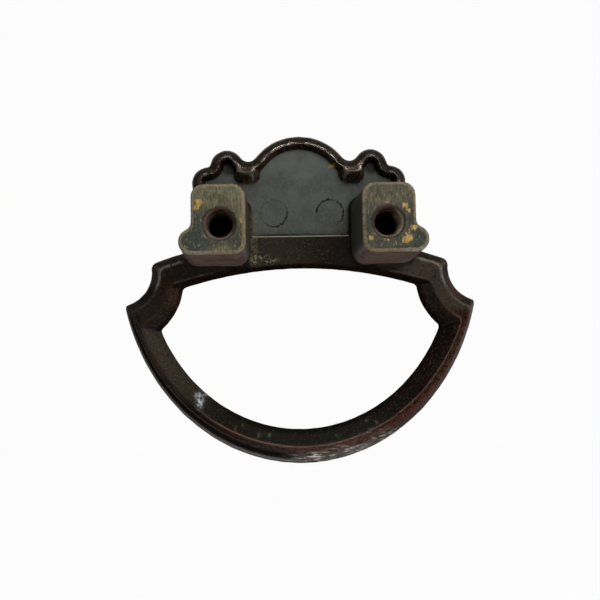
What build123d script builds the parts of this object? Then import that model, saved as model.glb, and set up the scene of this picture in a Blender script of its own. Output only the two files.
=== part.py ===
from build123d import *
from math import radians, sqrt, tan
import os

# A ring pull handle for a drawer, cast in one piece and held by two screws from inside the drawer.
# Frame, in millimetres: the origin is midway between the two tapped holes, on the face of the drawer front.
# +Z is up, +Y points into the drawer, and the handle stands out towards -Y.
# Outlines are drawn as (x, z), and a depth is the distance from the drawer front towards the user.

# Posts and their tapped holes
hole_spacing = 25.4
post_length = 15.0
post_width = 8.15
post_outset = 0.2
post_height = 10.6
post_rise = 0.75
post_corner = 1.9
post_draft = 1.5
post_foot = 0.8
post_edge = 0.3
post_root = 1.0
pad_radius = 1.95
pad_blend = 1.2
tap_radius = 1.73
tap_depth = 11.5
sink_radius = 2.7
sink_angle = 90

# Crest plate above the ring
crest_top = 16.9
dome_radius = 9.35
ear_radius = 2.8
ear_inset = 0.6
ear_height = 11.85
valley_radius = 1.45
curl_radius = 2.7
curl_outset = 2.6
curl_height = 9.1
curl_end = 10
notch_radius = 0.35
flank_radius = 30.0
crest_seat = 2.0
crest_thickness = 5.2
crest_front_edge = 1.0
rim_bevel = 1.45
rim_bevel_depth = 1.2
rim_width = 1.6
recess_depth = 2.0
recess_draft = 14
gusset_shift = 0.4
gusset_width = 3.15
gusset_reach = 3.75
gusset_corner = 0.8
gusset_foot_shift = 0.15
gusset_foot_width = 4.6
gusset_foot_reach = 5.9
gusset_foot_corner = 1.8
gusset_overrun = 0.4
recess_bottom = 0.0

# Ring: outer outline, then the insets of its back ridge, the foot of its back slope and its inner lip
bar_radius = 71.0
bar_crown = 0.3
loop_half_width = 30.2
loop_half_height = 34.4
loop_center = -3.4
shoulder_radius = 5.7
shoulder_outset = 0.45
shoulder_drop = 5.6
bar_corner = 1.2
tip_corner = 0.5
ridge_rise = 1.0
ridge_inset = 1.4
ridge_inset_side = 0.75
ridge_inset_low = 1.6
ridge_flat = 0.25
bevel_depth = 1.3
slope_fall = 0.9
slope_inset = 3.3
slope_drop = 0.6
slope_inset_side = 1.4
slope_inset_low = 2.8
slope_inset_bar = 5.05
slope_bar_radius = 75.0
lip_fall = 2.6
lip_inset = 4.95
lip_drop = 1.4
lip_inset_side = 4.0
lip_inset_low = 5.35
lip_inset_bar = 5.35
lip_bar_radius = 66.0
lip_corner = 0.5
ring_depth = 6.0
front_edge = 2.0
front_lip_edge = 1.2

# Casting marks on the floor of the recess
ejector_spacing = 9.5
ejector_height = 4.0
ejector_radius = 2.25
mark_width = 0.22
mark_depth = 0.18
seam_width = 0.4
seam_from = 6.2
seam_break = (-1.5, -2.7)
seam_to = -7.3

# Depths from the drawer front
floor_depth = post_length
rim_depth = floor_depth - recess_depth
crest_front = rim_depth + crest_thickness
ridge_depth = floor_depth - ridge_rise
side_depth = ridge_depth + bevel_depth
slope_depth = ridge_depth + slope_fall
lip_depth = slope_depth + lip_fall
ring_front = ridge_depth + ring_depth
root_depth = floor_depth + post_root

post_x = hole_spacing / 2
shoulder_x = loop_half_width + shoulder_outset


def level(depth):
    """The plane at a depth, with x across and z up in it."""
    return Plane.XZ.offset(depth)


def crossing(center_a, radius_a, center_b, radius_b):
    """Where two circles cross, on the left of the way from the first centre to the second."""
    way = center_b - center_a
    along = (radius_a**2 - radius_b**2 + way.length**2) / (2 * way.length)
    across = sqrt(radius_a**2 - along**2)
    unit = way.normalized()
    return center_a + unit * along + Vector(-unit.Y, unit.X) * across


def toward(center, target, radius):
    """The point of a circle in the direction of a target."""
    return center + (target - center).normalized() * radius


def arc_about(center, start, end):
    """The short arc from start to end about a centre."""
    return ThreePointArc(start, toward(center, (start + end) / 2, (start - center).length), end)


def ring_outline(depth, crown, radius, shoulder, drop, side_inset, low_inset, bar_end, loop_end):
    """The ring's closed outline: a loop under a bowed bar, with a round shoulder taken out at each end."""
    with BuildSketch(level(depth)) as outline:
        with Locations((0, loop_center)):
            Ellipse(loop_half_width - side_inset, loop_half_height - low_inset)
        with Locations((0, crown - radius)):
            Circle(radius, mode=Mode.INTERSECT)
        with Locations((shoulder_x, -drop), (-shoulder_x, -drop)):
            Circle(shoulder, mode=Mode.SUBTRACT)
        fillet(outline.vertices().group_by(Axis.Y)[-1], bar_end)
        fillet(outline.vertices().group_by(Axis.Y)[0], loop_end)
    return outline.sketch


def outer_outline(depth):
    """The ring's outermost outline."""
    return ring_outline(depth, bar_crown, bar_radius, shoulder_radius, shoulder_drop, 0, 0, bar_corner, tip_corner)


def ridge_outline(flat):
    """The ring's back ridge, moved inwards by a flat."""
    return ring_outline(
        ridge_depth,
        bar_crown - ridge_inset - flat,
        bar_radius - ridge_inset - flat,
        shoulder_radius + ridge_inset + flat,
        shoulder_drop,
        ridge_inset_side + flat,
        ridge_inset_low + flat,
        bar_corner,
        tip_corner,
    )


def slope_outline():
    """The foot of the back slope, where the ring's inner wall starts."""
    return ring_outline(
        slope_depth,
        bar_crown - slope_inset_bar,
        slope_bar_radius,
        shoulder_radius + slope_inset,
        shoulder_drop + slope_drop,
        slope_inset_side,
        slope_inset_low,
        lip_corner,
        lip_corner,
    )


def lip_outline():
    """The inner lip, the narrowest outline of the ring's opening."""
    return ring_outline(
        lip_depth,
        bar_crown - lip_inset_bar,
        lip_bar_radius,
        shoulder_radius + lip_inset,
        shoulder_drop + lip_drop,
        lip_inset_side,
        lip_inset_low,
        lip_corner,
        lip_corner,
    )


# Centres of the crest's arcs
dome = Vector(0, crest_top - dome_radius)
ear = Vector(post_x - ear_inset, ear_height)
curl = Vector(post_x + curl_outset, curl_height)
valley = crossing(dome, dome_radius + valley_radius, ear, ear_radius + valley_radius)


def crest_outline(depth, inset):
    """The crest's outline, scalloped along its top and seated on the bar, moved inwards by an inset."""
    dome_arc = dome_radius - inset
    ear_arc = ear_radius - inset
    curl_arc = curl_radius - inset
    bar = Vector(0, bar_crown - bar_radius)
    seat_radius = bar_radius - crest_seat
    notch = crossing(ear, ear_radius + notch_radius, curl, curl_radius + notch_radius)
    flank = curl + Vector(curl_radius + flank_radius, 0).rotate(Axis.Z, -curl_end)
    dome_foot = toward(dome, valley, dome_arc)
    ear_start = toward(ear, valley, ear_arc)
    ear_foot = toward(ear, notch, ear_arc)
    curl_start = toward(curl, notch, curl_arc)
    curl_foot = toward(curl, flank, curl_arc)
    skirt = crossing(bar, seat_radius, flank, flank_radius + inset)
    seat_top = bar + Vector(0, seat_radius)
    top = dome + Vector(0, dome_arc)
    with BuildSketch(level(depth)) as outline:
        with BuildLine():
            arc_about(dome, top, dome_foot)
            arc_about(valley, dome_foot, ear_start)
            arc_about(ear, ear_start, ear_foot)
            arc_about(notch, ear_foot, curl_start)
            arc_about(curl, curl_start, curl_foot)
            arc_about(flank, curl_foot, skirt)
            arc_about(bar, skirt, seat_top)
            Line(seat_top, top)
        make_face()
        mirror(about=Plane.YZ)
    return outline.sketch


def gusset_outline(depth, side, shift, width, reach, corner):
    """The outline of the gusset under the valley on one side, from the valley's centre down."""
    with BuildSketch(level(depth)) as outline:
        with Locations((side * (valley.X + shift), valley.Y - reach / 2)):
            RectangleRounded(width, reach, corner)
    return outline.sketch


def post_outline(depth, growth):
    """The right post's outline with the pad at its outer foot, grown by its draft."""
    middle = post_x + post_outset
    pad_x = middle + post_width / 2
    pad_z = post_rise - post_height / 2 + pad_radius
    with BuildSketch(level(depth)) as outline:
        with Locations((middle, post_rise)):
            RectangleRounded(post_width, post_height, post_corner)
        with Locations(((middle + pad_x) / 2, pad_z)):
            Rectangle(pad_x - middle, 2 * pad_radius)
        with Locations((pad_x, pad_z)):
            Circle(pad_radius)
        fillet(outline.vertices().sort_by_distance((pad_x, pad_z + pad_radius))[0], pad_blend)
        if growth:
            offset(amount=growth, mode=Mode.REPLACE)
    return outline.sketch


# The ring: bevelled back, plain sides and a rounded front, before its opening is cut
with BuildPart() as ring:
    loft([ridge_outline(0), outer_outline(side_depth)], ruled=True)
    extrude(outer_outline(side_depth), amount=ring_front - side_depth)
    fillet(ring.faces().sort_by(Axis.Y)[0].edges(), front_edge)

# The ring's opening: the back slope, the inner wall down to the lip, and the way out through the front
with BuildPart() as opening:
    loft([ridge_outline(ridge_flat), slope_outline()], ruled=True)
    loft([slope_outline(), lip_outline()], ruled=True)
    extrude(lip_outline(), amount=ring_front - lip_depth)

# The crest: a plate with a bevelled back rim and a rounded front edge
with BuildPart() as crest:
    loft([crest_outline(rim_depth, rim_bevel), crest_outline(rim_depth + rim_bevel_depth, 0)], ruled=True)
    extrude(crest_outline(rim_depth + rim_bevel_depth, 0), amount=crest_thickness - rim_bevel_depth)
    fillet(crest.faces().sort_by(Axis.Y)[0].edges().sort_by(Axis.Z)[1:], crest_front_edge)

# The hollow in the back of the crest, with a gusset left in it under each valley
with BuildPart() as recess:
    floor_inset = rim_width + recess_depth * tan(radians(recess_draft))
    loft([crest_outline(rim_depth, rim_width), crest_outline(floor_depth, floor_inset)], ruled=True)
    split(bisect_by=Plane.XY.offset(recess_bottom), keep=Keep.TOP)
    gusset_depth = floor_depth + gusset_overrun
    for side in (-1, 1):
        rim_end = gusset_outline(rim_depth, side, gusset_shift, gusset_width, gusset_reach, gusset_corner)
        foot_end = gusset_outline(
            gusset_depth,
            side,
            gusset_foot_shift,
            gusset_foot_width,
            gusset_foot_reach,
            gusset_foot_corner,
        )
        loft([rim_end, foot_end], ruled=True, mode=Mode.SUBTRACT)

# What is cut away behind the bar between the posts, down to its plain back slope
with BuildPart() as bar_back:
    slope_height = recess_bottom - bar_crown + slope_inset_bar
    slope_end = recess_bottom - 2 * slope_height
    with BuildSketch(Plane.YZ):
        Polygon(
            (-rim_depth, recess_bottom),
            (-ridge_depth, recess_bottom),
            (-ridge_depth - 2 * slope_fall, slope_end),
            (-rim_depth, slope_end),
            align=None,
        )
    extrude(amount=post_x, both=True)

# The posts, drafted from their roots in the crest to their rounded ends
draft = tan(radians(post_draft))
with BuildPart() as posts:
    loft([post_outline(0, 0), post_outline(root_depth, root_depth * draft)], ruled=True)
    fillet(posts.faces().sort_by(Axis.Y)[-1].edges(), post_edge)
    mirror(about=Plane.YZ)

# The small foot of each post on the floor of the hollow
with BuildPart() as feet:
    foot_depth = floor_depth - post_foot
    foot_growth = foot_depth * draft
    loft([post_outline(foot_depth, foot_growth), post_outline(floor_depth, foot_growth + post_foot)], ruled=True)
    mirror(about=Plane.YZ)
    add(recess.part, mode=Mode.INTERSECT)

# The whole casting
with BuildPart() as pull_handle:
    add(ring.part)
    add(opening.part, mode=Mode.SUBTRACT)
    fillet(pull_handle.faces().sort_by(Axis.Y)[0].inner_wires()[0].edges(), front_lip_edge)
    add(crest.part)
    add(recess.part, mode=Mode.SUBTRACT)
    add(bar_back.part, mode=Mode.SUBTRACT)
    add(feet.part)
    add(posts.part)

    # Tapped holes, open at the drawer front
    with Locations(*(Plane((x, 0, 0), x_dir=(1, 0, 0), z_dir=(0, 1, 0)) for x in (-post_x, post_x))):
        CounterSinkHole(tap_radius, sink_radius, tap_depth, sink_angle)

    # Ejector pin marks and the broken line at the foot of the bar
    with BuildSketch(level(floor_depth)):
        with Locations((-ejector_spacing / 2, ejector_height), (ejector_spacing / 2, ejector_height)):
            Circle(ejector_radius)
            Circle(ejector_radius - mark_width, mode=Mode.SUBTRACT)
        for start, end in ((seam_from, seam_break[0]), (seam_break[1], seam_to)):
            with Locations(((start + end) / 2, recess_bottom + seam_width)):
                Rectangle(start - end, seam_width)
    extrude(amount=mark_depth, mode=Mode.SUBTRACT)

os.makedirs("parts", exist_ok=True)
pull_handle.part.label = "pull_handle"
export_step(pull_handle.part, "parts/pull_handle.step")
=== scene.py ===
import math

import bmesh
import bpy
import numpy as np
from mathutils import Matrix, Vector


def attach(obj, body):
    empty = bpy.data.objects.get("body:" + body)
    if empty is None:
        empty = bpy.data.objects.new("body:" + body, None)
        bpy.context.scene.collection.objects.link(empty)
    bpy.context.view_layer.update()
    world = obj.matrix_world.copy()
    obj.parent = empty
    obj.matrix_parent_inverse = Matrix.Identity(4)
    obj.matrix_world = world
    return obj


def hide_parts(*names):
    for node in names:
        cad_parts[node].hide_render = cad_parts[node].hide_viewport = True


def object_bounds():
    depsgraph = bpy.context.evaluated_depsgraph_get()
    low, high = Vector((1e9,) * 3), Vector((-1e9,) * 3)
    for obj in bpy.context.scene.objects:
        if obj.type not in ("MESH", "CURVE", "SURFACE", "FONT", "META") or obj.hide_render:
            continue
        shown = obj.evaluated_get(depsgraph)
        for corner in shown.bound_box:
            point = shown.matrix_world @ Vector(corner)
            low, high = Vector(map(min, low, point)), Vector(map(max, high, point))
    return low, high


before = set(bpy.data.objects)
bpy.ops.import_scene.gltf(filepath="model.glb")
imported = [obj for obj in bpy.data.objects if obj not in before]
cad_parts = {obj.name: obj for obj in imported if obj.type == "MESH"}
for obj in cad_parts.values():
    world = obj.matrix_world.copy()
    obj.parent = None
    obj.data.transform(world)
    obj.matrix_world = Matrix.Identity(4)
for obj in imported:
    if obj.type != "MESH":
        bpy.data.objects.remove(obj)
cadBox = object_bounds()
scene = bpy.context.scene
scene.view_settings.view_transform = "Standard"
mm = 0.001
print("frame loaded")


def linear(hexColour):  # sRGB hex to linear RGBA
    srgb = np.array([int(hexColour[i:i + 2], 16) / 255 for i in (1, 3, 5)])
    lin = np.where(srgb <= 0.04045, srgb / 12.92, ((srgb + 0.055) / 1.055) ** 2.4)
    return (*lin.tolist(), 1.0)


def addNode(tree, kind, inputs=None, **settings):  # one node, its settings, and its links or values
    node = tree.nodes.new(kind)
    for name, value in settings.items():
        setattr(node, name, value)
    for socket, value in (inputs or {}).items():
        if isinstance(value, bpy.types.NodeSocket):
            tree.links.new(value, node.inputs[socket])
        else:
            node.inputs[socket].default_value = value
    return node


def ease(low, high, values):  # 0 at low, 1 at high, smooth between; runs downwards if low > high
    share = np.clip((values - low) / (high - low), 0, 1)
    return share * share * (3 - 2 * share)


# The casting: a copy of the solid on a fine voxel grid, smoothed until its edges are soft as in a die casting
castShape = {
    "voxel": 0.26,               # mm
    "tidyRounds": 4,             # rounds that take out the grid's steps
    "tidyShares": (0.5, -0.53),  # in and out again, which keeps the size
    "softRounds": 2,             # rounds that round the edges
    "softShare": 0.5,
    "broadRounds": 8,            # rounds to the broad form that edges and corners are told from
    "broadShare": 0.6,
    "postX": 12.7,               # mm, hole to middle
    "tapRadius": 1.73,           # mm, hole wall in the solid
    "boreRadius": 2.08,          # mm, hole wall at the foot of its thread
    "boreDepths": (0.3, 11.9),   # mm from the post end, the stretch that is opened
    "ringZ": -14,                # mm, middle of the ring's curve
    "wave": 0.025,               # mm, unevenness of the cast skin
    "waves": [(1.9, 0, 0.8, 0), (0, -2.1, 1.3, 1), (2.7, 1.2, -1.6, 2)],  # radians a mm on x, y, z, and at 0
    "flatEnd": 0.6,              # mm of each post that stays flat
}


def relax(points, edges, share):  # moves each point by a share of the way to the mean of its neighbours
    n = len(points)
    a, b = edges[:, 0], edges[:, 1]
    count = np.bincount(edges.ravel(), minlength=n)[:, None]
    total = [np.bincount(a, points[b, k], n) + np.bincount(b, points[a, k], n) for k in range(3)]
    return points + share * (np.stack(total, 1) / count - points)


def castPoints(cadNode, shape):  # fine mesh of the CAD node, its points in mm and its edges
    rough = cadNode.data.copy()
    work = bmesh.new()
    work.from_mesh(rough)
    bmesh.ops.remove_doubles(work, verts=work.verts, dist=1e-7)
    bmesh.ops.scale(work, vec=(1 / mm,) * 3, verts=work.verts)
    work.to_mesh(rough)
    work.free()
    holder = bpy.data.objects.new("roughCasting", rough)
    scene.collection.objects.link(holder)
    grid = holder.modifiers.new("grid", "REMESH")
    grid.mode = "VOXEL"
    grid.voxel_size = shape["voxel"]
    mesh = bpy.data.meshes.new_from_object(holder.evaluated_get(bpy.context.evaluated_depsgraph_get()))
    bpy.data.objects.remove(holder)
    bpy.data.meshes.remove(rough)
    points = np.empty(len(mesh.vertices) * 3)
    edges = np.empty(len(mesh.edges) * 2, int)
    mesh.vertices.foreach_get("co", points)
    mesh.edges.foreach_get("vertices", edges)
    return mesh, points.reshape(-1, 3), edges.reshape(-1, 2)


def putPoints(mesh, points):  # mm to metres, into the mesh; gives back the point normals
    mesh.vertices.foreach_set("co", (points * mm).ravel())
    mesh.update()
    normals = np.empty(len(points) * 3, np.float32)
    mesh.vertices.foreach_get("normal", normals)
    return normals.reshape(-1, 3).astype(float)


mesh, points, edges = castPoints(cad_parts["pull_handle"], castShape)
for _ in range(castShape["tidyRounds"]):
    for share in castShape["tidyShares"]:
        points = relax(points, edges, share)
for _ in range(castShape["softRounds"]):
    points = relax(points, edges, castShape["softShare"])

# the bore is opened from the tapping size to the foot of the thread: radius times a factor, up to the foot
hole = np.sign(points[:, 0]) * castShape["postX"]
radius = np.hypot(points[:, 0] - hole, points[:, 2])
boreTop, boreEnd = castShape["boreDepths"]
inBore = (radius < castShape["boreRadius"]) & (points[:, 1] < -boreTop) & (points[:, 1] > -boreEnd)
wider = np.minimum(radius * castShape["boreRadius"] / castShape["tapRadius"], castShape["boreRadius"])
factor = np.where(inBore, wider / np.maximum(radius, 1e-6), 1)
points[:, 0] = hole + (points[:, 0] - hole) * factor
points[:, 2] = points[:, 2] * factor

# unevenness: three crossing sine waves a few mm long, along the normal
normals = putPoints(mesh, points)
waves = np.array(castShape["waves"])
swell = np.sin(points @ waves[:, :3].T + waves[:, 3]).sum(1) * (points[:, 1] < -castShape["flatEnd"])
points = points + normals * (castShape["wave"] / len(waves) * swell)[:, None]
low, high = (np.array(corner) / mm for corner in cadBox)
points = np.clip(points, low, high)  # inside the solid's box
normals = putPoints(mesh, points)
print("casting", len(points), "points")

# Wear and painted light and shade: what is where on the casting, one number for each point
# left and right are as seen from behind, so left is +x
castWearAndLight = {
    "edgeBulge": 0.06,  # mm above the broad form that makes a full edge
    "shadeBulge": 0.09,   # mm below it that makes a full corner of painted shade
    # ejector marks on the floor of the hollow, in mm, and the ways round, in radians, where each is deepest
    "marks": {
        "apart": 4.72, "up": 3.98, "over": 0.37,  # from the middle, both then moved to the right
        "radius": 2.70, "wobble": 0.9,            # not quite round: grain times wobble comes off the radius
        "leftDeep": (-2.3,), "rightDeep": (0.9, 3.1),
        "stepShadow": 0.32, "stepHighlight": -0.06,           # heights of the broken painted shadow line at a small step and of the painted highlight below it
    },
    # spots are x, z, half width and half height in mm, and strength
    "spots": {
        "scrape": [(15.75, 3.2, 1.0, 1.0, 1.15), (16.35, 2.1, 0.5, 0.35, 1.2), (9.5, 0.5, 0.4, 0.7, 1.1),
                   (12.0, 4.9, 2.2, 0.5, 0.72), (12.7, -3.5, 1.2, 0.6, 0.72), (-15.2, 2.3, 0.5, 0.55, 2),
                   (-15.8, 1.6, 0.35, 0.5, 1.5), (-16.5, -0.9, 0.65, 0.45, 2), (-15.7, -2.3, 0.65, 0.65, 2.5),
                   (-15.2, -3.0, 0.7, 0.45, 1.2), (-10.0, -2.4, 0.5, 0.5, 1.5), (-12.4, -2.9, 1.4, 0.5, 0.8),
                   (-12.5, 3.0, 1.4, 0.4, 0.9), (-12.8, 4.8, 2.0, 0.4, 0.72)],
        "tan": [(9.6, 0.3, 0.8, 2.0, 1.0), (12.6, -3.8, 1.6, 0.7, 1.0), (11.8, 3.8, 2.5, 1.0, 0.4),
                (-12.5, 3.3, 2.6, 0.6, 0.4), (-10.0, -2.4, 0.7, 1.0, 0.6), (-12.6, -3.4, 2.0, 0.6, 0.3),
                (-15.9, -1.6, 0.8, 2.0, 0.3)],
        "olive": [(-7.4, 1.6, 1.1, 1.2, 0.6)],
        "nick": [(-5.5, 11.9, 0.45, 0.2, 0.9)],
        "smudge": [(17.2, -27.3, 0.45, 0.9, 1.0), (17.6, -26.2, 0.5, 0.4, 0.5),
                   (16.2, -26.2, 0.5, 0.3, 0.35)],
        "rust": [(21.2, -9.7, 1.4, 2.2, 0.6)],
        # painted shade in the eye of each ear
        "earShade": [(11.95, 11.9, 1.0, 1.0, 3), (-12.25, 11.85, 1.0, 1.0, 3)],
        "speck": [(10.2, -31.3, 0.16, 0.3, 0.8), (11.4, -31.8, 0.15, 0.28, 0.7), (7.5, -33.0, 0.22, 0.3, 0.8),
                  (5.8, -33.1, 0.3, 0.26, 0.9), (-10.6, -31.0, 0.2, 0.25, 0.7),
                  (-12.1, -31.4, 0.16, 0.4, 0.8), (-5.5, -33.4, 0.2, 0.2, 0.6), (7.8, -30.9, 0.2, 0.2, 0.4)],
        "crust": [(7.8, -3.6, 0.4, 0.7, 0.9), (5.0, -4.1, 0.8, 0.35, 0.8), (6.5, -3.5, 0.7, 0.5, 0.5)],
        # scratches and painted reflection on the ring's lower right bevel
        "streakAndSheen": [(-1.6, -36.6, 2.8, 0.6, 1.3), (-7.5, -35.5, 3.0, 0.7, 0.5),
                   (-13.5, -33.4, 4.0, 1.2, 0.25)],
    },
    # lines that follow one depth: depth and half width in mm
    "lines": {"holeLipHighlight": (0.75, 0.2), "bevelSheenLine": (14.95, 0.2), "crease": (14.86, 0.08)},
    # zones are what is measured, where the zone starts and where it is full
    # places are in mm, and directions go from -1 to 1
    "zones": {
        "behind": [("facing", -0.3, 0.0)],  # not on the front
        # posts
        "post": [("across", 19.9, 19.4), ("across", 8.0, 8.4), ("z", -6.4, -5.6), ("z", 7.4, 6.8)],
        "postLength": [("depth", 14.2, 13.2)],
        "under": [("rising", -0.35, -0.75)],
        "keyFacingSide": [("leftward", -0.5, -0.8)],
        "endFace": [("depth", 0.6, 0.3), ("facing", 0.78, 0.92)],
        "endTop": [("z", 0.5, 4.0)],
        "endEdge": [("edge", 0.4, 1.0), ("depth", 0.9, 0.5)],
        # holes
        "inHole": [("fromHole", 2.5, 2.3)],
        "roundHole": [("fromHole", 3.8, 3.3)],
        "outerHalf": [("depth", 9.0, 2.0)],
        "litDepth": [("depth", 7.0, 3.0)],
        "brownWall": [("x", 13.2, 14.4)],
        "greyWall": [("x", -13.6, -14.5)],
        "lowWall": [("z", -0.8, -1.8)],
        # hollow and the bar below it
        "hollow": [("depth", 14.25, 14.65), ("depth", 15.6, 15.4), ("facing", 0.6, 0.9), ("z", -0.15, 0.1)],
        "hollowTop": [("z", 8.5, 13)],
        "betweenPosts": [("across", 8.0, 7.6)],
        "footHighlight": [("across", 8.2, 7.9), ("depth", 15.3, 15.1), ("depth", 13.4, 13.8)],
        "strip": [("x", 7.0, 7.4), ("x", 8.9, 8.4), ("z", -5.0, -4.0), ("z", 5.0, 3.5),
                  ("depth", 12.8, 13.6), ("depth", 16.0, 15.6)],
        "barBack": [("across", 8.6, 8.2), ("z", 0.0, -0.3), ("z", -5.6, -5.1), ("facing", 0.5, 0.8)],
        "barLeft": [("x", -6, 6)],
        "crustDepth": [("depth", 13.6, 14.0)],
        # crest
        "crest": [("z", 6.0, 7.5)],
        "crestSkin": [("depth", 15.4, 14.9)],
        "crestRim": [("edge", 0.35, 0.9), ("depth", 14.5, 14.2)],
        "ears": [("across", 10.0, 11.2)],
        "earShade": [("depth", 13.6, 14.2)],
        "lit": [("leftward", -0.3, -0.7)],  # faces the key lamp
        "steep": [("facing", 0.8, 0.5)],
        "hanging": [("rising", -0.1, -0.4)],
        "nickDepth": [("depth", 12.5, 12.9), ("depth", 15.8, 15.3)],
        # shoulders
        "notch": [("z", -13.5, -12.5), ("z", -3.0, -4.0), ("across", 14.0, 15.5), ("depth", 15.0, 14.7)],
        "notchRim": [("edge", 0.35, 0.9)],
        "notchHighlight": [("edge", 0.4, 0.9)],
        "notchTop": [("z", -9.0, -7.5)],
        "shoulder": [("across", 15.5, 17.5), ("z", -13.5, -12.0), ("facing", 0.75, 0.9),
                     ("depth", 13.0, 13.6), ("depth", 15.0, 14.85)],
        "shoulderRight": [("x", -12, -18)],
        # ring
        "ring": [("z", -6.5, -9.0)],
        "backBand": [("z", -12.0, -14.5), ("depth", 14.95, 14.8), ("facing", 0.3, 0.6),
                     ("outward", 0.6, 0.4)],
        "bandRight": [("x", 6, -4)],
        "bandLeft": [("x", -6, 4), ("x", 20, 6), ("depth", 14.35, 14.65)],
        "outerDepth": [("depth", 15.6, 15.2)],
        "bevel": [("outward", 0.3, 0.55)],
        "bevelRidge": [("depth", 14.8, 14.6)],
        "bevelLeft": [("x", -3, 3), ("z", -11, -14)],
        "bevelRight": [("x", -12, -22)],
        "innerWall": [("outward", -0.35, -0.6), ("depth", 14.7, 15.1), ("depth", 18.6, 17.8)],
        # painted light: the upward-facing part of the left inner wall, lit by the key lamp
        "litLeftWall": [("x", 10, 19), ("z", -32, -23), ("rising", 0.0, 0.15)],
        "wallLow": [("z", -24, -30)],
        "rustDepth": [("depth", 14.4, 15.0)],
        "smudgeDepth": [("depth", 14.6, 15.0)],
        "crease": [("facing", 0.3, 0.5), ("outward", 0.1, -0.1)],
        "creaseLeft": [("z", -27, -32)],
        "creaseRight": [("z", -12, -16)],
        "dullSide": [("outward", 0.35, 0.7), ("x", -8, 2), ("z", -33, -26)],
        # edges that turn to the front, under the bar and inside the ring
        "barLip": [("rising", -0.3, -0.6), ("z", -11, -10), ("depth", 14.6, 14.9), ("across", 25, 23)],
        "ringLip": [("depth", 16.4, 17.2), ("outward", -0.2, -0.6)],
        "belowPosts": [("z", -3.0, -4.0)],
    },
}


def zoneMask(limits, measured):  # eased limits multiplied
    mask = 1.0
    for name, starts, full in limits:
        mask = mask * ease(starts, full, measured[name])
    return mask


def spotMask(places):  # bell-shaped spots added up
    total = np.zeros(len(points))
    for cx, cz, width, height, strength in places:
        total += strength * np.exp(-((points[:, 0] - cx) / width) ** 2 - ((points[:, 2] - cz) / height) ** 2)
    return np.clip(total, 0, 1)


x, y, z = points.T
depth, across, left = -y, np.abs(x), x > 0
broad = points
for _ in range(castShape["broadRounds"]):
    broad = relax(broad, edges, castShape["broadShare"])
bulge = np.einsum("ij,ij->i", points - broad, normals)  # above or below the broad form
fromRing = z - castShape["ringZ"]
leftward, facing, rising = normals.T
measured = {
    "x": x, "z": z, "depth": depth, "across": across, "fromHole": np.hypot(across - castShape["postX"], z),
    "leftward": leftward, "facing": facing, "rising": rising,
    "outward": (leftward * x + rising * fromRing) / np.hypot(x, fromRing),
    "edge": np.clip(bulge / castWearAndLight["edgeBulge"], 0, 1),
}
on = {name: zoneMask(limits, measured) for name, limits in castWearAndLight["zones"].items()}
spot = {name: spotMask(places) for name, places in castWearAndLight["spots"].items()}
line = {name: np.exp(-((depth - at) / width) ** 2) for name, (at, width) in castWearAndLight["lines"].items()}

# how deep each ejector mark is, by the way round it
marks = castWearAndLight["marks"]
turn = np.arctan2(z - marks["up"], x + marks["over"] - marks["apart"] * np.sign(x))
leftDeep = np.max([np.cos(turn - way) for way in marks["leftDeep"]], 0)
rightDeep = np.max([np.cos(turn - way) for way in marks["rightDeep"]], 0)
broken = np.where(left, 0.25 + 0.75 * ease(0.0, 0.8, leftDeep), 0.2 + 0.8 * ease(0.35, 0.75, rightDeep))

# masks from 0 to 1, mixed from the zones, spots and lines; plain numbers are shares
behind, hollow, crest = on["behind"], on["hollow"], on["crest"]
barBack, shoulder = on["barBack"], on["shoulder"]
postEnd = on["post"] * on["endFace"]
bore = on["post"] * on["inHole"] * (1 - postEnd)
postSide = on["post"] * on["postLength"] * (1 - postEnd) * (1 - bore)
postUnder = postSide * on["under"]
litWall = crest * on["lit"]
# painted shade: darker in concave corners, less so on the floor, the crest and walls facing the key lamp
corner = -bulge / castWearAndLight["shadeBulge"] * (1 - 0.6 * hollow) * (1 - 0.5 * litWall) * (1 - 0.4 * crest)
rim = crest * on["crestRim"] + 0.3 * on["notch"] * on["notchRim"]
bevel = on["ring"] * on["bevel"] * on["outerDepth"]
bevelDark = bevel * on["bevelRidge"] * on["bevelLeft"]
innerWall = on["ring"] * on["innerWall"]
lip = np.maximum(on["barLip"], on["ringLip"]) * on["belowPosts"]
rustyBack = on["backBand"] * (on["bandRight"] + 0.6 * on["bandLeft"]) + 0.5 * bevel * on["bevelRight"]
# a real rust spot, plus painted light: ruddy colour on steep crest walls that face the key lamp
rustAndLitWall = spot["rust"] * on["rustDepth"] * behind + 0.35 * litWall * on["steep"]
oliveBack = 0.9 * shoulder * on["shoulderRight"] + barBack * (0.05 + 0.4 * on["barLeft"])
# painted light on the right hole's right and lower wall, with a painted highlight line at its lip
litGreyHole = on["greyWall"] * (0.4 * on["litDepth"] + 0.5 * line["holeLipHighlight"]) + 0.3 * on["lowWall"]
gloss = 0.08 + (1.4 - 1.0 * on["ears"]) * rim
dull = (1 - np.maximum(lip, postUnder)) * (1 - 0.8 * bevelDark) * (1 - 0.7 * crest * on["hanging"])
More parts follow.
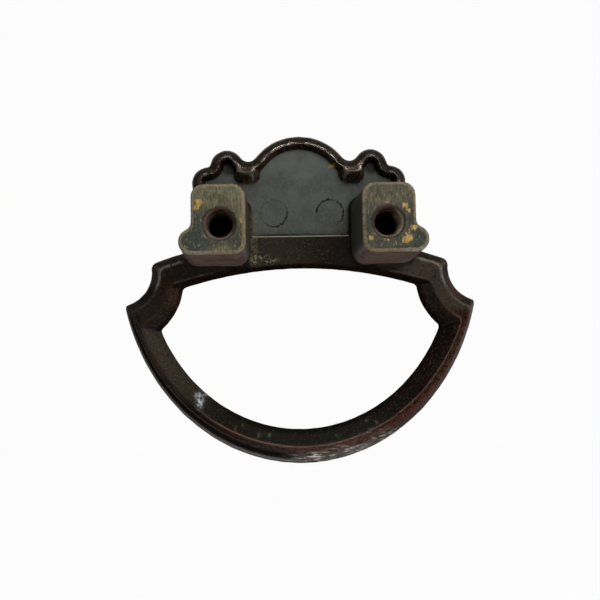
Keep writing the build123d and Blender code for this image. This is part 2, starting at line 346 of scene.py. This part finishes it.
wearAndLight = {
    # painted shade in corners and in the ears' eyes
    "cornerShade": np.clip(np.maximum(corner, spot["earShade"] * on["earShade"]), 0, 1),
    "postEnd": postEnd,
    "postTan": postEnd * np.clip(np.where(left, 0.8, 0.4) * on["endTop"] + spot["tan"], 0, 1),
    "postSide": postSide - postUnder,
    # underside tone, partly painted light bounced up from below
    "postUnder": postUnder,
    "postEdge": on["post"] * on["endEdge"] * (1 - 0.7 * on["roundHole"]),
    "hollow": hollow,
    # painted light: the floor made lighter near the top, below the rim
    "litFloorTop": hollow * on["hollowTop"],
    "marks": hollow * broken * on["betweenPosts"],
    # painted highlight along the edge of the small step at the floor's foot
    "footHighlight": on["footHighlight"],
    # brown wall near the mouth; deeper in, painted shade leaves the near-black base
    "bore": bore * on["outerHalf"],
    # painted light on the hole walls near the mouth
    "boreBrownLit": bore * 0.6 * on["brownWall"] * on["litDepth"],
    "boreGreyLit": bore * np.clip(litGreyHole, 0, 1),
    # rust along the ring, plus painted light on key-facing crest walls
    "ruddy": np.clip(rustyBack + rustAndLitWall, 0, 1),
    # olive haze on the right shoulder and bar, plus painted light on the left inner wall
    "olive": np.clip(oliveBack + 0.8 * innerWall * on["litLeftWall"], 0, 1),
    "lowWall": np.clip(innerWall * on["wallLow"] + 0.5 * barBack, 0, 1),
    "bevelDark": bevelDark,
    # painted reflection: a grey sheen line on the ring's outer bevel
    "bevelSheenLine": bevel * line["bevelSheenLine"] * on["bevelLeft"],
    "specks": spot["speck"] * innerWall * behind,
    # a real tan-olive strip at the post's foot, plus painted light on the left post's side facing the key
    # lamp
    "strip": np.maximum(0.7 * on["strip"] + hollow * spot["olive"], 0.3 * postSide * on["keyFacingSide"] * left),
    "dust": np.clip(0.7 * barBack + 0.7 * innerWall + 0.3 * shoulder, 0, 1) * behind,
    "crease": line["crease"] * on["crease"] * np.where(left, on["creaseLeft"], on["creaseRight"]),
    # painted highlight along the shoulder notch crease, brightest on its upper stretch
    "notchHighlight": on["notchHighlight"] * on["notch"] * (0.08 + 0.92 * on["notchTop"]),
    "scrape": 0.64 * spot["scrape"] * postEnd,
    "nick": spot["nick"] * on["nickDepth"],
    "smudge": spot["smudge"] * on["smudgeDepth"] * behind,
    "crust": spot["crust"] * on["crustDepth"] * behind,
    # bright scratches plus painted reflection of light from below, on the ring's outer bevel
    "streakAndSheen": spot["streakAndSheen"] * on["ring"] * on["outerDepth"] * behind,
    "crestSkin": crest * on["crestSkin"] * behind * (1 - hollow),
    "rim": rim,
    "bumps": 0.55 - 0.4 * rim,  # strength of the bump
    "sheen": gloss * dull * (1 - 0.8 * on["ring"] * on["dullSide"]),  # strength of the gloss
}
for name, values in wearAndLight.items():
    mesh.attributes.new(name, "FLOAT", "POINT").data.foreach_set("value", values.astype(np.float32))
mesh.polygons.foreach_set("use_smooth", np.ones(len(mesh.polygons), bool))
mesh.materials.clear()
casting = bpy.data.objects.new("casting", mesh)
scene.collection.objects.link(casting)
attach(casting, "root")
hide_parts("pull_handle")
print("wearAndLight", {name: round(float(values.mean()), 3) for name, values in wearAndLight.items()})

# Thread in each hole: a ridge with a rounded triangular section, carried along a helix on the bore's wall
threadShape = {
    "pitch": 0.794,          # mm, 32 turns to the inch
    "foot": 2.2,             # mm, just inside the wall
    "crest": 1.85,           # mm
    "start": 0.85,           # mm from the post end, below the countersink
    "end": 9.5,              # mm
    "stepsPerTurn": 56,
    "stepsOver": 9,          # points over the ridge
    "spread": 0.46,          # of the pitch, half the ridge's width
    "roundness": 1.3,        # 1 is a sharp triangle
    "runOut": 4,             # radians over which the ridge grows at each end
    "stub": 0.15,            # of its height that it starts with
    "shadeDepths": (7.5, 0.5),      # mm, depths between which painted shade deep in the hole gives way to the brown of the wall
}


def threadRidge(name, holeX, shape):
    # angle runs along the helix, section runs over the ridge from foot to crest to foot
    turns = (shape["end"] - shape["start"]) / shape["pitch"]
    angle = np.linspace(0, 2 * math.pi * turns, int(turns * shape["stepsPerTurn"]))[:, None]
    section = np.linspace(-1, 1, shape["stepsOver"])[None, :]
    grown = ease(0, shape["runOut"], angle) * ease(angle.max(), angle.max() - shape["runOut"], angle)
    height = (shape["foot"] - shape["crest"]) * (shape["stub"] + (1 - shape["stub"]) * grown)
    reach = shape["foot"] - height * (1 - np.abs(section) ** shape["roundness"])
    down = shape["start"] + shape["pitch"] * (angle / (2 * math.pi) + shape["spread"] * section)
    grid = np.stack([holeX + reach * np.cos(angle), -down, reach * np.sin(angle)], -1)
    rows, cols = reach.shape
    index = np.arange(rows * cols).reshape(rows, cols)
    quads = np.stack([index[:-1, :-1], index[:-1, 1:], index[1:, 1:], index[1:, :-1]], -1).reshape(-1, 4)
    ridge = bpy.data.meshes.new(name)
    ridge.from_pydata((grid * mm).reshape(-1, 3).tolist(), [], quads.tolist())
    ridge.polygons.foreach_set("use_smooth", np.ones(len(ridge.polygons), bool))
    measured = {"x": grid[..., 0], "depth": down}
    zones = castWearAndLight["zones"]
    lit = zoneMask(zones["litDepth"], measured) * (0.7 - 0.6 * np.abs(section))  # painted light, most on the ridge's crest
    masks = {
        "bore": ease(*shape["shadeDepths"], down),
        "boreBrownLit": zoneMask(zones["brownWall"], measured) * lit,
        "boreGreyLit": zoneMask(zones["greyWall"], measured) * lit,
    }
    for mask, values in masks.items():
        values = values.ravel().astype(np.float32)
        ridge.attributes.new(mask, "FLOAT", "POINT").data.foreach_set("value", values)
    ridge.update()
    piece = bpy.data.objects.new(name, ridge)
    scene.collection.objects.link(piece)
    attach(piece, "root")
    return piece


sides = {"threadLeft": -1, "threadRight": 1}  # as seen from the front
threads = [threadRidge(name, side * castShape["postX"], threadShape) for name, side in sides.items()]
print("threads", [len(piece.data.vertices) for piece in threads])

# Antique brass on a zinc alloy die casting: black-brown and glossy where it is handled, dull grey-green on
# the bare cast back, tan and scraped to brass on the post ends, rusty red along the ring
# Some layers are painted light and shade: shade in corners, the ears and deep in the holes; light on
# key-facing walls, the top floor and the hole walls; highlights and sheen on creases, step lines and the
# ring's bevel
castFinish = {
    # noise patterns: size in mm along x, y and z, detail, roughness
    "noises": {
        "patch": ((3.2, 3.2, 3.2), 4.0, 0.6),
        "grain": ((0.45, 0.45, 0.45), 3.0, 0.6),
        "upright": ((0.28, 1.5, 1.3), 3.0, 0.6),    # scratches that run up and down
        "level": ((1.6, 0.5, 0.35), 3.0, 0.65),     # scratches along the bottom of the ring
        "scratch": ((0.36, 1.5, 0.75), 3.0, 0.6),   # short upright scrapes
    },
    "noiseShift": (2.6, 0, 0),  # in pattern sizes, puts the broad patches where they look right
    "dotCell": 0.5,             # mm between specks of dust; real dust is finer and wouldn't show
    "bumpDepth": 0.05,          # mm
    "base": "#0c0908",
    "baseRough": 0.27,
    # layers from the metal outwards: colour, roughness, where, pattern, the pattern's values that start and
    # that fill the layer, and its most cover
    "layers": [
        ("#1c110b", 0.30, "", "patch", 0.40, 0.66, 0.8),
        ("#2b1c13", 0.35, "", "grain", 0.50, 0.72, 0.6),
        ("#15110e", 0.23, "rim", "patch", -1.0, 0.0, 1.0),
        ("#3d382c", 0.38, "crestSkin", "grain", 0.48, 0.66, 0.38),
        ("#0f0f0b", 0.38, "lowWall", "patch", -1.0, 0.0, 0.85),
        # olive: real haze, and painted light on the left inner wall
        ("#3b352c", 0.55, "olive", "grain", 0.00, 0.70, 0.9),
        # ruddy: rust along the ring, partly painted light on crest walls that face the key lamp
        ("#47281e", 0.45, "ruddy", "grain", 0.34, 0.60, 0.8),
        ("#8a735c", 0.60, "ruddy", "dots", 0.84, 0.92, 0.5),
        # brown hole wall, fading to painted shade deeper in
        ("#3f2d25", 0.40, "bore", "grain", 0.20, 0.60, 0.9),
        # painted light on the hole walls: brown in the left hole, grey in the right
        ("#5f4f49", 0.45, "boreBrownLit", "grain", 0.00, 0.50, 0.85),
        ("#8f8b74", 0.45, "boreGreyLit", "grain", 0.00, 0.50, 0.85),
        ("#3d413d", 0.62, "hollow", "patch", -1.0, 0.0, 1.0),
        ("#464a45", 0.62, "hollow", "patch", 0.35, 0.62, 1.0),
        ("#50544e", 0.62, "hollow", "grain", 0.50, 0.70, 0.5),
        ("#313531", 0.62, "hollow", "scratch", 0.56, 0.74, 0.5),
        ("#686a60", 0.62, "hollow", "dots", 0.86, 0.95, 0.4),
        # painted light on the floor near the top rim
        ("#5c605a", 0.62, "litFloorTop", "patch", 0.20, 0.55, 0.8),
        ("#0b0b0a", 0.60, "marks", "circle", 0.80, 0.93, 0.95),
        # painted shadow line at a small step, and painted highlight on its edge below
        ("#10100e", 0.60, "marks", "stepShadow", 0.84, 0.92, 0.9),
        ("#7b7e70", 0.50, "footHighlight", "stepHighlight", 0.82, 0.93, 0.85),
        ("#2b2a25", 0.58, "postSide", "patch", -1.0, 0.0, 0.9),
        ("#45443b", 0.60, "postSide", "grain", 0.48, 0.70, 0.3),
        ("#161611", 0.58, "postSide", "upright", 0.52, 0.68, 0.6),
        # purple-brown undersides, made lighter with painted light bounced up from below
        ("#544642", 0.60, "postUnder", "patch", -1.0, 0.0, 0.9),
        ("#3a2c29", 0.60, "postUnder", "patch", 0.42, 0.62, 0.6),
        ("#303330", 0.62, "postEnd", "patch", -1.0, 0.0, 1.0),
        ("#454640", 0.60, "postEnd", "grain", 0.42, 0.65, 0.6),
        ("#67614a", 0.58, "postTan", "upright", 0.22, 0.64, 1.0),
        ("#847a5e", 0.55, "postEnd", "scratch", 0.54, 0.70, 0.6),
        ("#22231d", 0.62, "postEnd", "grain", 0.54, 0.70, 0.6),
        ("#292b26", 0.62, "postEnd", "patch", 0.50, 0.64, 0.5),
        # painted shade: near black in corners and in the ears' eyes
        ("#040303", 0.50, "cornerShade", "grain", 0.00, 0.50, 0.85),
        # strip: real tan-olive, and painted light on the left post's key-facing side
        ("#5a5440", 0.60, "strip", "grain", 0.30, 0.65, 0.85),
        ("#82745a", 0.50, "postEdge", "grain", 0.15, 0.70, 0.7),
        # painted highlight on the notch crease
        ("#77746a", 0.35, "notchHighlight", "grain", 0.25, 0.60, 0.5),
        ("#775d50", 0.45, "crease", "patch", 0.10, 0.50, 0.75),
        ("#050403", 0.25, "bevelDark", "patch", 0.00, 0.50, 0.9),
        # painted reflection: grey sheen line on the outer bevel
        ("#5e5e59", 0.40, "bevelSheenLine", "patch", 0.00, 0.50, 0.8),
        ("#2a251e", 0.50, "dust", "grain", 0.48, 0.75, 0.5),
        ("#75705f", 0.65, "dust", "dots", 0.80, 0.93, 0.5),
        ("#6a6757", 0.60, "specks", "grain", 0.25, 0.60, 0.6),
        ("#a89d82", 0.70, "crust", "grain", 0.50, 0.62, 0.8),
        ("#ccd8da", 0.60, "smudge", "grain", 0.34, 0.68, 0.95),
        # painted reflection: grey sheen under the streaks, then bright scratches that also stand for the
        # reflection
        ("#5c5753", 0.38, "streakAndSheen", "patch", 0.15, 0.60, 0.55),
        ("#c4c1bc", 0.40, "streakAndSheen", "level", 0.48, 0.66, 0.75),
    ],
    # brass laid bare: colour, roughness, and the sum of place and pattern that starts and that fills
    "brass": ("#a98e55", 0.70, 0.97, 1.25),
    "warmth": "#f3dfce",        # tint of the gloss
}


def antiqueBrass(finish, marks):
    material = bpy.data.materials.new("antique brass plated die casting")
    material.use_nodes = True
    tree = material.node_tree
    tree.nodes.clear()
    place = addNode(tree, "ShaderNodeTexCoord").outputs["Object"]
    mask = {name: addNode(tree, "ShaderNodeAttribute", attribute_name=name).outputs["Fac"] for name in wearAndLight}
    pattern = {}
    for name, (size, detail, roughness) in finish["noises"].items():
        fit = {"Vector": place, "Location": finish["noiseShift"], "Scale": [1 / (s * mm) for s in size]}
        fitted = addNode(tree, "ShaderNodeMapping", fit).outputs["Vector"]
        noise = {"Vector": fitted, "Scale": 1.0, "Detail": detail, "Roughness": roughness}
        pattern[name] = addNode(tree, "ShaderNodeTexNoise", noise).outputs["Fac"]

    # the other patterns are 1 in the middle of a speck or line and fall off with distance, in cells or in mm
    cells = {"Vector": place, "Scale": 1 / (finish["dotCell"] * mm)}
    fromDot = addNode(tree, "ShaderNodeTexVoronoi", cells).outputs["Distance"]
    pattern["dots"] = addNode(tree, "ShaderNodeMath", {0: 1.0, 1: fromDot}, operation="SUBTRACT").outputs[0]
    fit = {"Vector": place, "Location": (marks["over"], 0, 0), "Scale": (1 / mm, 0, 1 / mm)}
    inMm = addNode(tree, "ShaderNodeMapping", fit).outputs["Vector"]
    folded = addNode(tree, "ShaderNodeVectorMath", {0: inMm}, operation="ABSOLUTE").outputs["Vector"]
    span = {0: folded, 1: (marks["apart"], 0, marks["up"])}
    fromMark = addNode(tree, "ShaderNodeVectorMath", span, operation="DISTANCE").outputs["Value"]
    uneven = {0: pattern["grain"], 1: marks["wobble"], 2: fromMark}
    fromMark = addNode(tree, "ShaderNodeMath", uneven, operation="MULTIPLY_ADD").outputs[0]
    height = addNode(tree, "ShaderNodeSeparateXYZ", {0: inMm}).outputs["Z"]
    lines = {"circle": (fromMark, marks["radius"]), "stepShadow": (height, marks["stepShadow"]),
             "stepHighlight": (height, marks["stepHighlight"])}
    for name, (value, middle) in lines.items():
        off = addNode(tree, "ShaderNodeMath", {0: value, 1: middle}, operation="SUBTRACT").outputs[0]
        off = addNode(tree, "ShaderNodeMath", {0: off}, operation="ABSOLUTE").outputs[0]
        pattern[name] = addNode(tree, "ShaderNodeMath", {0: 1.0, 1: off}, operation="SUBTRACT").outputs[0]

    colour, rough = linear(finish["base"]), finish["baseRough"]
    for shade, gloss, where, kind, starts, fills, most in finish["layers"]:
        ramp = {"Value": pattern[kind], "From Min": starts, "From Max": fills, "To Max": most}
        cover = addNode(tree, "ShaderNodeMapRange", ramp, interpolation_type="SMOOTHSTEP").outputs["Result"]
        if where:
            there = {0: cover, 1: mask[where]}
            cover = addNode(tree, "ShaderNodeMath", there, operation="MULTIPLY").outputs[0]
        laid = {0: cover, 6: colour, 7: linear(shade)}
        colour = addNode(tree, "ShaderNodeMix", laid, data_type="RGBA").outputs[2]
        rough = addNode(tree, "ShaderNodeMix", {0: cover, 2: rough, 3: gloss}, data_type="FLOAT").outputs[0]

    shade, gloss, starts, fills = finish["brass"]
    there = {0: pattern["scratch"], 1: mask["scrape"]}
    scraped = addNode(tree, "ShaderNodeMath", there, operation="ADD").outputs[0]
    ramp = {"Value": scraped, "From Min": starts, "From Max": fills}
    scraped = addNode(tree, "ShaderNodeMapRange", ramp, interpolation_type="SMOOTHSTEP").outputs["Result"]
    scraped = addNode(tree, "ShaderNodeMath", {0: scraped, 1: mask["nick"]}, operation="MAXIMUM").outputs[0]
    laid = {0: scraped, 6: colour, 7: linear(shade)}
    colour = addNode(tree, "ShaderNodeMix", laid, data_type="RGBA").outputs[2]
    rough = addNode(tree, "ShaderNodeMix", {0: scraped, 2: rough, 3: gloss}, data_type="FLOAT").outputs[0]

    relief = {"Strength": mask["bumps"], "Distance": finish["bumpDepth"] * mm, "Height": pattern["grain"]}
    bump = addNode(tree, "ShaderNodeBump", relief).outputs["Normal"]
    skin = {"Base Color": colour, "Roughness": rough, "Metallic": scraped, "Normal": bump,
            "Specular IOR Level": mask["sheen"], "Specular Tint": linear(finish["warmth"])}
    surface = addNode(tree, "ShaderNodeBsdfPrincipled", skin).outputs["BSDF"]
    addNode(tree, "ShaderNodeOutputMaterial", {"Surface": surface})
    return material


finishMaterial = antiqueBrass(castFinish, castWearAndLight["marks"])
for piece in (casting, *threads):
    piece.data.materials.append(finishMaterial)
print("finish done")

# White paper floor and backdrop, well clear of the handle, which hangs on its posts and doesn't stand
stageSet = {
    "floorZ": -85,        # mm
    "backY": -420,        # mm
    "size": 5000,         # mm
    "colour": "#f4f4f2",
    "glow": 0.95,         # share of plain white in what is seen; the rest is paper with the shadow
    "room": 0.38,         # strength of the grey room light
}
paper = bpy.data.materials.new("white paper")
paper.use_nodes = True
tree = paper.node_tree
tree.nodes.clear()
path = addNode(tree, "ShaderNodeLightPath").outputs
rays = {0: path["Is Camera Ray"], 1: path["Is Glossy Ray"]}
seen = addNode(tree, "ShaderNodeMath", rays, operation="MAXIMUM").outputs[0]
rays = {0: seen, 1: path["Is Transmission Ray"]}
seen = addNode(tree, "ShaderNodeMath", rays, operation="MAXIMUM").outputs[0]
share = addNode(tree, "ShaderNodeMapRange", {"Value": seen, "To Max": stageSet["glow"]}).outputs["Result"]
matt = addNode(tree, "ShaderNodeBsdfDiffuse", {"Color": linear(stageSet["colour"])}).outputs[0]
white = addNode(tree, "ShaderNodeEmission", {"Strength": 1.0}).outputs[0]
both = addNode(tree, "ShaderNodeMixShader", {0: share, 1: matt, 2: white}).outputs[0]
addNode(tree, "ShaderNodeOutputMaterial", {"Surface": both})
half, floorZ, backY = stageSet["size"] / 2 * mm, stageSet["floorZ"] * mm, stageSet["backY"] * mm
sheets = {
    "floor": [(-half, backY, floorZ), (half, backY, floorZ), (half, half, floorZ), (-half, half, floorZ)],
    "backdrop": [(half, backY, floorZ), (-half, backY, floorZ), (-half, backY, half), (half, backY, half)],
}
for name, corners in sheets.items():
    sheet = bpy.data.meshes.new(name)
    sheet.from_pydata(corners, [], [(0, 1, 2, 3)])
    sheet.materials.append(paper)
    holder = bpy.data.objects.new(name, sheet)
    scene.collection.objects.link(holder)

world = bpy.data.worlds.new("grey room")
scene.world = world
world.use_nodes = True
tree = world.node_tree
tree.nodes.clear()
room = addNode(tree, "ShaderNodeBackground", {"Color": (1, 1, 1, 1), "Strength": stageSet["room"]}).outputs[0]
addNode(tree, "ShaderNodeOutputWorld", {"Surface": room})

# Soft lamps: place, aim, width and height in mm, watts
lamps = {
    "keyLamp": ((-80, 215, 85), (0, -10, -5), 80, 80, 0.28),
    "sideLamp": ((-230, 50, 10), (0, -14, -10), 80, 80, 0.14),
    "frontLamp": ((-8, 205, 60), (0, -13, 5), 24, 24, 0.04),
    "topLamp": ((0, 65, 190), (0, -14, 15), 170, 9, 0.20),
    "lowLamp": ((-24, -10, -78), (-10, -14, -36), 34, 20, 0.012),
}
for name, (stand, target, width, height, watts) in lamps.items():
    lamp = bpy.data.lights.new(name, "AREA")
    lamp.shape = "RECTANGLE"
    lamp.size, lamp.size_y = width * mm, height * mm
    lamp.energy = watts
    holder = bpy.data.objects.new(name, lamp)
    holder.location = np.array(stand) * mm
    aim = np.array(target) - np.array(stand)
    tilt = math.atan2(math.hypot(aim[0], aim[1]), -aim[2])
    holder.rotation_euler = (tilt, 0, math.atan2(-aim[0], aim[1]))
    scene.collection.objects.link(holder)
print("stage and lamps")

# Camera behind the handle, a little below its middle, as in the photograph
cameraRig = {
    "place": (5.857, 120.816, -19.182),  # mm
    "turn": (93.570, 1.155, 177.712),    # degrees
    "lens": 48.814,                      # mm
    "sensor": 36,                        # mm
    "near": 5,                           # mm
}
lens = bpy.data.cameras.new("camera")
lens.lens = cameraRig["lens"]
lens.sensor_width = cameraRig["sensor"]
lens.clip_start = cameraRig["near"] * mm
camera = bpy.data.objects.new("camera", lens)
camera.location = np.array(cameraRig["place"]) * mm
camera.rotation_euler = [math.radians(angle) for angle in cameraRig["turn"]]
scene.collection.objects.link(camera)
scene.camera = camera

bpy.context.view_layer.update()
